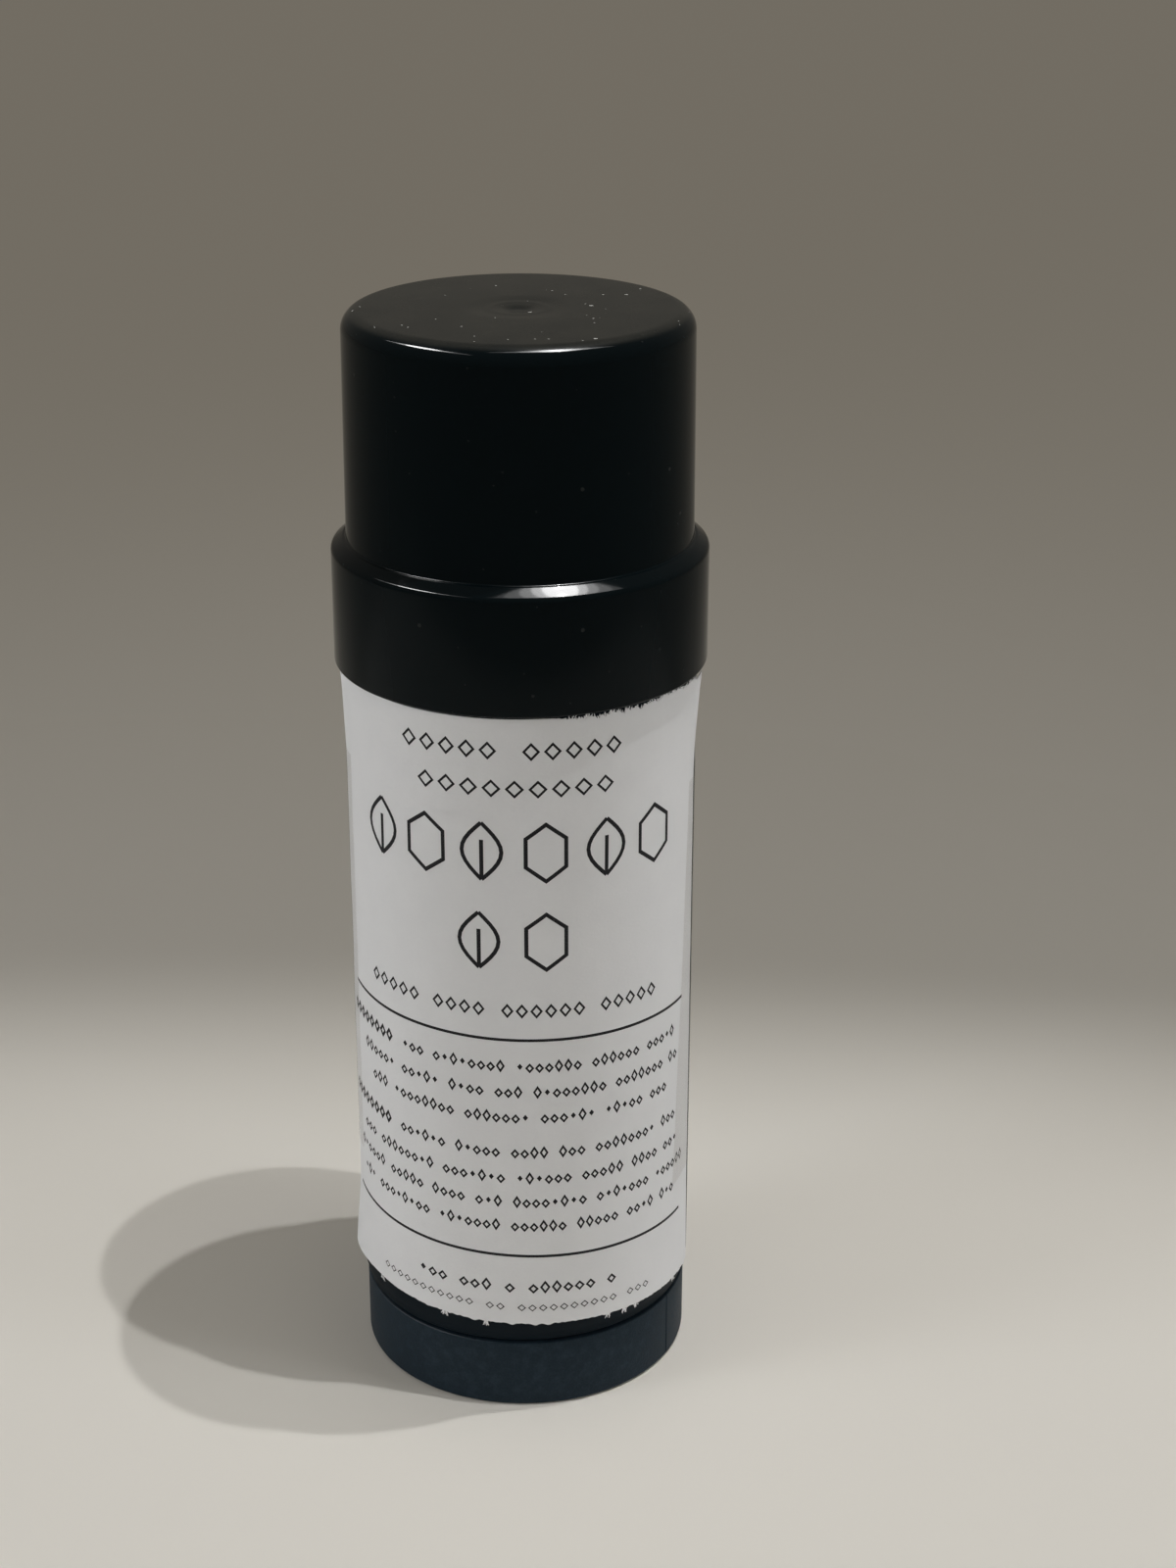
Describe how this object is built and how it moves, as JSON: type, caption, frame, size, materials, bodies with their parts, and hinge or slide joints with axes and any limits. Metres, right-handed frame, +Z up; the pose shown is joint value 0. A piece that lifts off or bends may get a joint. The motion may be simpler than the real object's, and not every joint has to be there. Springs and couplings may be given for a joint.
{
  "type": "body butter bar",
  "caption": "Round black twist-up stick tube with a stepped pull-off cap, a taped paper label, a bottom knob, a screw-driven elevator and a pale bar.",
  "frame": {"origin": "centre of the knob's foot ring, on the surface the stick stands on", "axes": "+Z up along the tube's axis towards the cap, -Y towards the middle of the label"},
  "size_m": [0.04, 0.04, 0.1211],
  "materials": {
    "cap_plastic": "high-gloss black polypropylene",
    "barrel_plastic": "smooth black polypropylene",
    "knob_plastic": "fine-textured satin black",
    "inner_plastic": "natural moulded plastic",
    "label_paper": "uncoated white paper",
    "clear_tape": "clear glossy film",
    "butter": "set cream-coloured butter, soft sheen"
  },
  "bodies": {
    "barrel": {"barrel": "barrel_plastic", "label": "label_paper", "tape": "clear_tape"},
    "knob": {"knob": "knob_plastic", "spindle": "inner_plastic"},
    "stick": {"elevator": "inner_plastic", "butter_bar": "butter"},
    "cap": {"cap": "cap_plastic"}
  },
  "joints": [
    {"name": "knob_turn", "type": "hinge", "parent": "barrel", "child": "knob", "pos_m": [0, 0, 0], "axis": [0, 0, -1], "range_deg": [0, 4160]},
    {"name": "stick_lift", "type": "slide", "parent": "barrel", "child": "stick", "axis": [0, 0, 1], "range_m": [0, 0.069]},
    {"name": "cap_lift", "type": "slide", "parent": "stick", "child": "cap", "axis": [0, 0, 1], "range_m": [0, 0.06]}
  ],
  "couplings": [
    {"joint": "knob_turn", "follows": "stick_lift", "rad_per_m": 1047.2}
  ]
}
